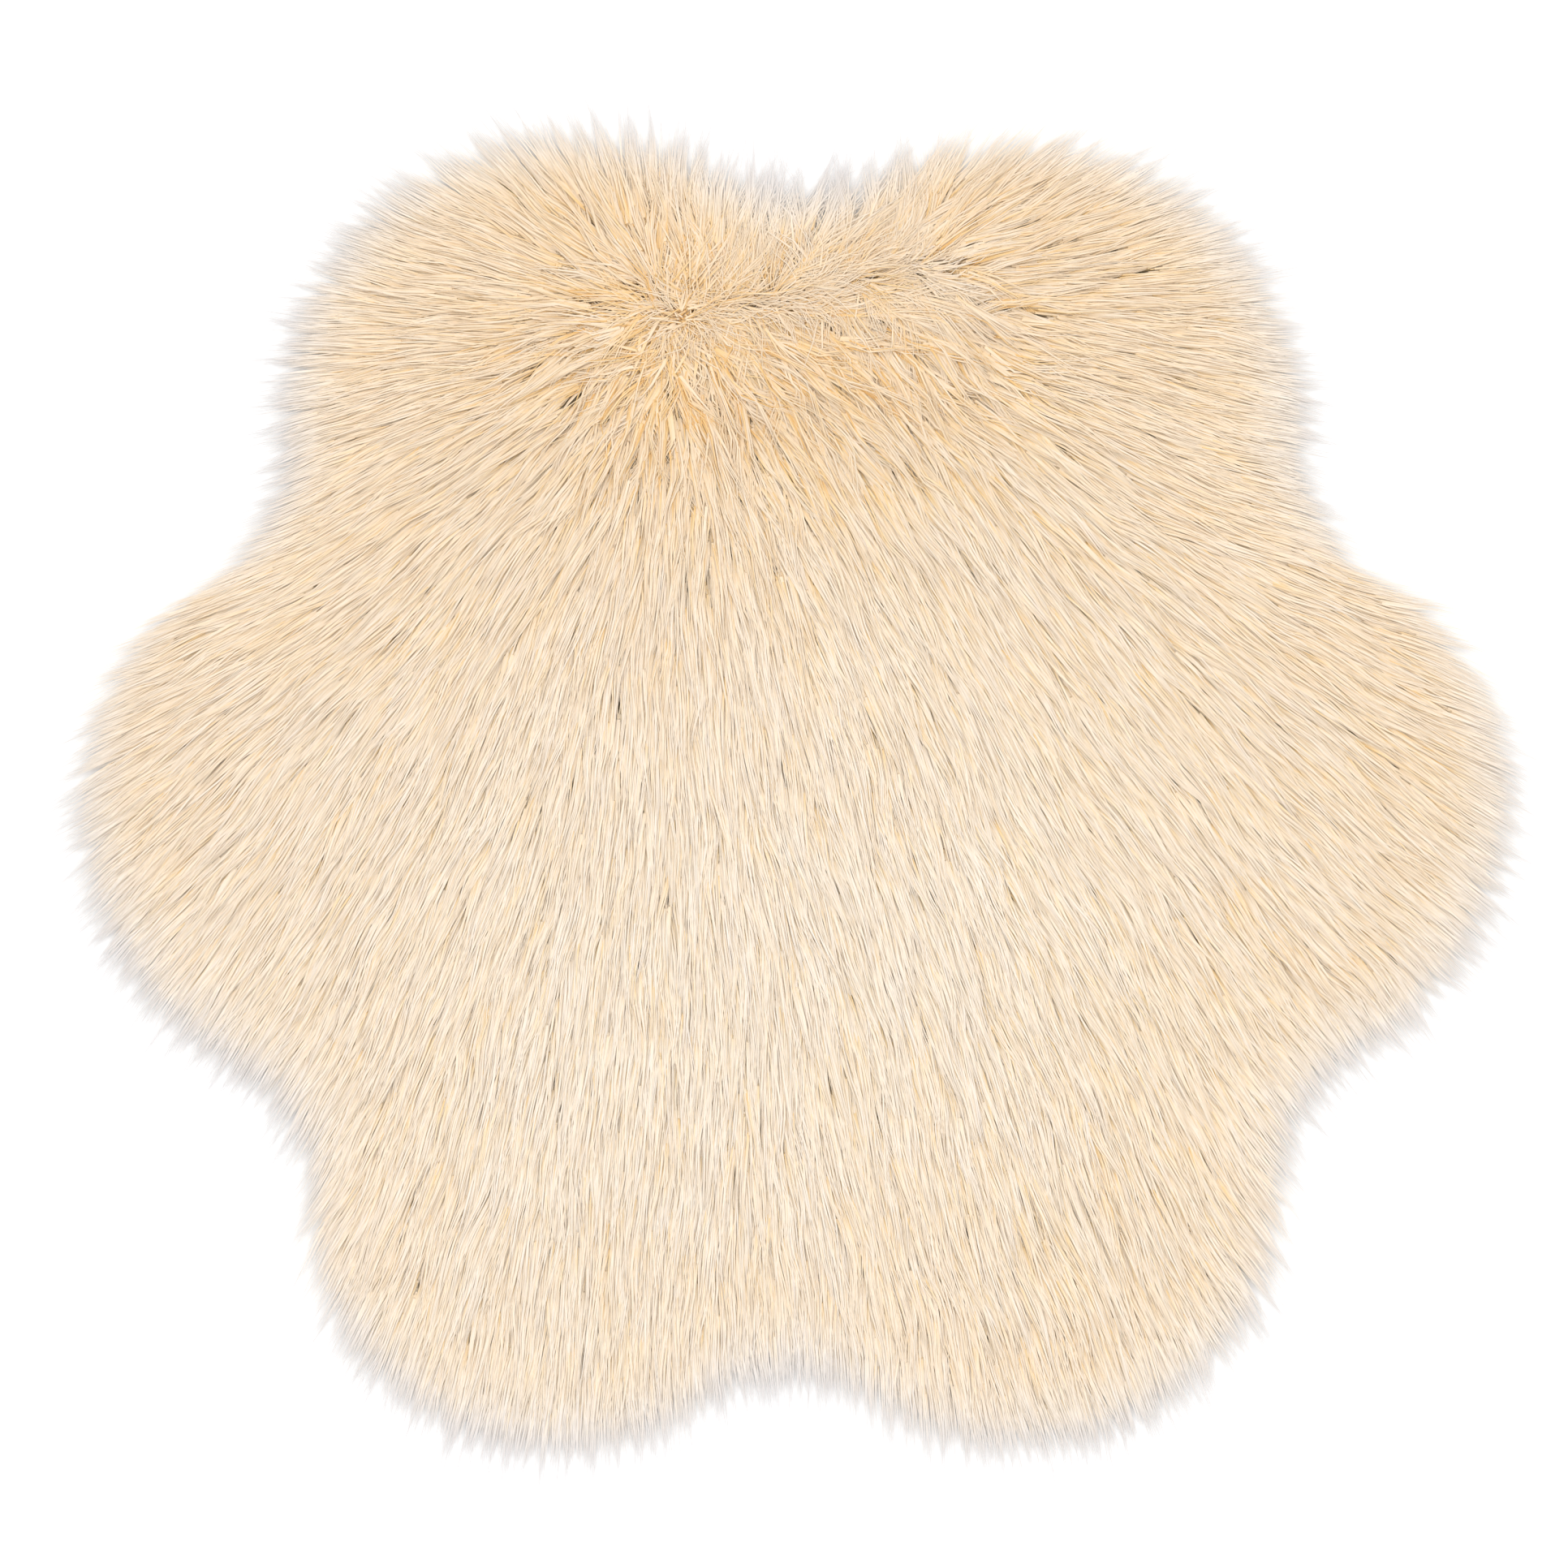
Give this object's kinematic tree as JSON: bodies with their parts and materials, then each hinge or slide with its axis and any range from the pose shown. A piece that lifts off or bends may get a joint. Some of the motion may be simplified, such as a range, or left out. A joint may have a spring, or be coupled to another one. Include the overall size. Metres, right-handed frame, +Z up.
{
  "type": "flower-shaped shag rug",
  "caption": "Flat shag rug in the outline of a flower, with long soft pile combed away from a parting near one notch and drooping to the floor all round.",
  "frame": {"origin": "on the floor, under the middle of the bounding box", "axes": "+Z up from the floor; +Y towards the parting in the pile, the top of the picture; +X to the right of the picture"},
  "size_m": [0.8972, 0.8274, 0.0326],
  "materials": {
    "pile": "long soft cream pile, matt"
  },
  "bodies": {
    "root": {"shag_rug": "pile"}
  },
  "joints": []
}
